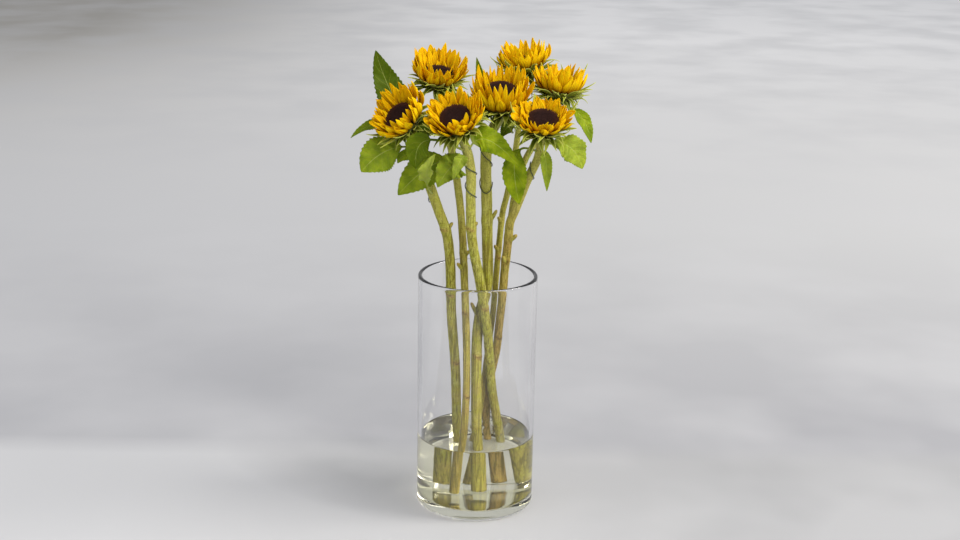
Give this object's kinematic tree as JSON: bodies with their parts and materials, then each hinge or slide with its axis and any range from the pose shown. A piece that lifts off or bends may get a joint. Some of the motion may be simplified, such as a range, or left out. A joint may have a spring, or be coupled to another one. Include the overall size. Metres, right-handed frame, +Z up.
{
  "type": "sunflowers in a vase",
  "caption": "Bunch of cut sunflowers with their leaves, standing in a clear glass cylinder vase with water in it.",
  "frame": {"origin": "centre of the vase's flat foot, on the surface it stands on", "axes": "+Z up along the vase's axis, -Y towards the side that the picture shows"},
  "size_m": [0.2966, 0.1965, 0.5956],
  "materials": {
    "glass": "clear polished glass",
    "water": "clear still water",
    "stem": "green plant stem with fine hairs",
    "leaf": "soft matte leaf",
    "petal": "satin golden petal",
    "disc": "dark matte florets",
    "wire": "dark green lacquer"
  },
  "bodies": {
    "root": {"vase": "glass", "water": "water", "stem_left": "stem", "stem_back_left": "stem", "stem_front": "stem", "stem_centre": "stem", "stem_back": "stem", "stem_right": "stem", "petals_left": "petal", "petals_back_left": "petal", "petals_front": "petal", "petals_centre": "petal", "petals_back": "petal", "petals_right": "petal", "petals_back_right": "petal", "disc_left": "disc", "disc_back_left": "disc", "disc_front": "disc", "disc_centre": "disc", "disc_back": "disc", "disc_right": "disc", "disc_back_right": "disc", "leaf_upper_left": "leaf", "leaf_far_left": "leaf", "leaf_broad_left": "leaf", "leaf_small_left": "leaf", "leaf_folded": "leaf", "leaf_low_left": "leaf", "leaf_curled": "leaf", "leaf_middle": "leaf", "leaf_small_middle": "leaf", "leaf_centre_right": "leaf", "leaf_long_right": "leaf", "leaf_hanging_right": "leaf", "leaf_broad_right": "leaf", "leaf_far_right": "leaf", "leaf_upright": "leaf", "leaf_under_centre": "leaf", "leaf_behind_centre": "leaf", "leaf_behind_left": "leaf", "wire_left": "wire", "wire_front": "wire", "wire_centre": "wire", "wire_right": "wire"}
  },
  "joints": []
}
